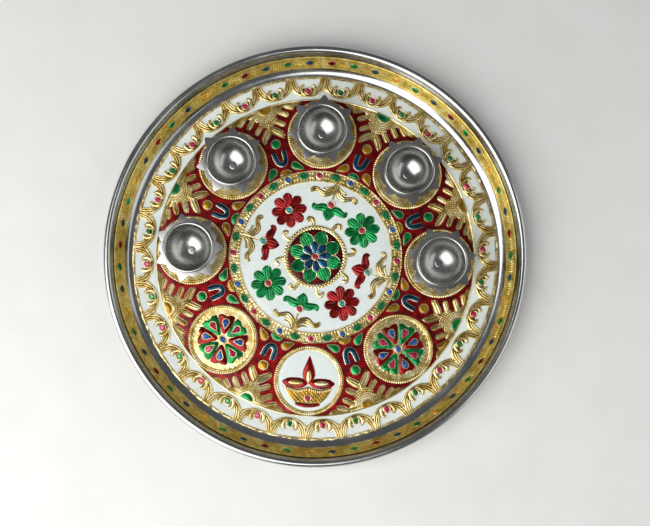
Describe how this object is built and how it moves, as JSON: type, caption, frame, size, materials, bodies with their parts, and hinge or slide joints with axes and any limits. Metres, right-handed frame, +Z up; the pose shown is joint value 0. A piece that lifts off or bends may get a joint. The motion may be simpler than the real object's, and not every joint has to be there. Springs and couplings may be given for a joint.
{
  "type": "puja thali",
  "caption": "Round steel ritual tray with an embossed gilt, enamelled and stone-set floor, a gilt strip round its sloping wall, and small petal-brimmed bowls that lift out.",
  "frame": {"origin": "centre of the tray's flat underside, on the surface that it stands on", "axes": "+Z up out of the dish, +Y towards the middle bowl, -Y towards the lamp medallion, +X to the right"},
  "size_m": [0.254, 0.254, 0.0174],
  "materials": {
    "steel": "bright spun and polished stainless steel with fine turning lines",
    "gilt": "embossed foil with a gold lacquer",
    "white_enamel": "glossy opaque white lacquer enamel",
    "red_enamel": "glossy translucent ruby lacquer enamel",
    "green_enamel": "glossy translucent green lacquer enamel",
    "blue_enamel": "glossy translucent blue lacquer enamel",
    "amber_enamel": "glossy translucent amber lacquer enamel",
    "orange_enamel": "glossy translucent orange lacquer enamel",
    "pink_glass": "faceted foil-backed pink glass",
    "blue_glass": "faceted foil-backed blue glass",
    "green_glass": "faceted foil-backed green glass",
    "aqua_glass": "faceted foil-backed aqua glass"
  },
  "bodies": {
    "tray": {"tray": "steel", "embossed_foil": "gilt", "rim_strip_left": "gilt", "rim_strip_right": "gilt", "border_white_enamel": "white_enamel", "field_white_enamel": "white_enamel", "lamp_white_enamel": "white_enamel", "sector_red_enamel": "red_enamel", "centre_red_enamel": "red_enamel", "centre_petals_green": "green_enamel", "centre_petals_blue": "blue_enamel", "centre_stone": "pink_glass", "flowers_green": "green_enamel", "flowers_red": "red_enamel", "sprays_green": "green_enamel", "sprays_red": "red_enamel", "flower_stones_pink": "pink_glass", "flower_stones_aqua": "aqua_glass", "sector_cells_green": "green_enamel", "sector_cells_amber": "amber_enamel", "sector_loops_blue": "blue_enamel", "wheel_petals_red": "red_enamel", "wheel_petals_green": "green_enamel", "wheel_stones_blue": "blue_glass", "wheel_stones_pink": "pink_glass", "wheel_centre_stones": "blue_glass", "lamp_flame_red": "red_enamel", "lamp_bowl_amber": "amber_enamel", "lamp_stone": "pink_glass", "garland_stones_green": "green_glass", "garland_stones_pink": "pink_glass", "band_stones_pink": "pink_glass", "band_stones_blue": "blue_glass", "band_stones_green": "green_glass", "rim_drops_blue": "blue_enamel", "rim_drops_green": "green_enamel", "rim_drops_red": "red_enamel", "rim_drops_orange": "orange_enamel"},
    "bowl_left": {"katori_left": "steel"},
    "bowl_upper_left": {"katori_upper_left": "steel"},
    "bowl_top": {"katori_top": "steel"},
    "bowl_upper_right": {"katori_upper_right": "steel"},
    "bowl_right": {"katori_right": "steel"}
  },
  "joints": [
    {"name": "katori_left_lift", "type": "slide", "parent": "tray", "child": "bowl_left", "axis": [0, 0, 1], "range_m": [0, 0.04]},
    {"name": "katori_upper_left_lift", "type": "slide", "parent": "tray", "child": "bowl_upper_left", "axis": [0, 0, 1], "range_m": [0, 0.04]},
    {"name": "katori_top_lift", "type": "slide", "parent": "tray", "child": "bowl_top", "axis": [0, 0, 1], "range_m": [0, 0.04]},
    {"name": "katori_upper_right_lift", "type": "slide", "parent": "tray", "child": "bowl_upper_right", "axis": [0, 0, 1], "range_m": [0, 0.04]},
    {"name": "katori_right_lift", "type": "slide", "parent": "tray", "child": "bowl_right", "axis": [0, 0, 1], "range_m": [0, 0.04]}
  ]
}
